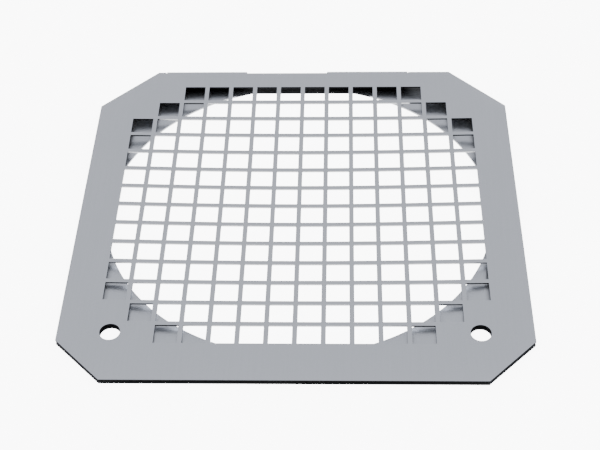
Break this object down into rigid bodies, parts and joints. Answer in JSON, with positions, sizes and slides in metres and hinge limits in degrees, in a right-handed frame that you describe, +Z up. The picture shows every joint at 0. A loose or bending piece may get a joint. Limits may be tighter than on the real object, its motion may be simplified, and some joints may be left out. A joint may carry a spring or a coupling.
{
  "type": "lamp colour-filter frame",
  "caption": "Flat folded sheet-metal filter frame: a punched grid leaf hinges on fold straps over a leaf with a round light aperture, with chamfered corners and corner holes.",
  "frame": {"origin": "under the middle of the frame, on the lower leaf's underside", "axes": "+Z up through the light aperture, from the aperture leaf to the grid leaf; +Y towards the fold; +X to the right along the fold"},
  "size_m": [0.19, 0.1892, 0.0057],
  "materials": {
    "sheet_metal": "matt rolled sheet"
  },
  "bodies": {
    "lower_leaf": {"aperture_leaf": "sheet_metal", "fold_strap_left": "sheet_metal", "fold_strap_right": "sheet_metal"},
    "upper_leaf": {"grid_leaf": "sheet_metal"}
  },
  "joints": [
    {"name": "leaf_fold", "type": "hinge", "parent": "lower_leaf", "child": "upper_leaf", "pos_m": [0, 0.09175, 0.00285], "axis": [-1, 0, 0], "range_deg": [0, 30], "deforming": ["fold_strap_left", "fold_strap_right"]}
  ]
}
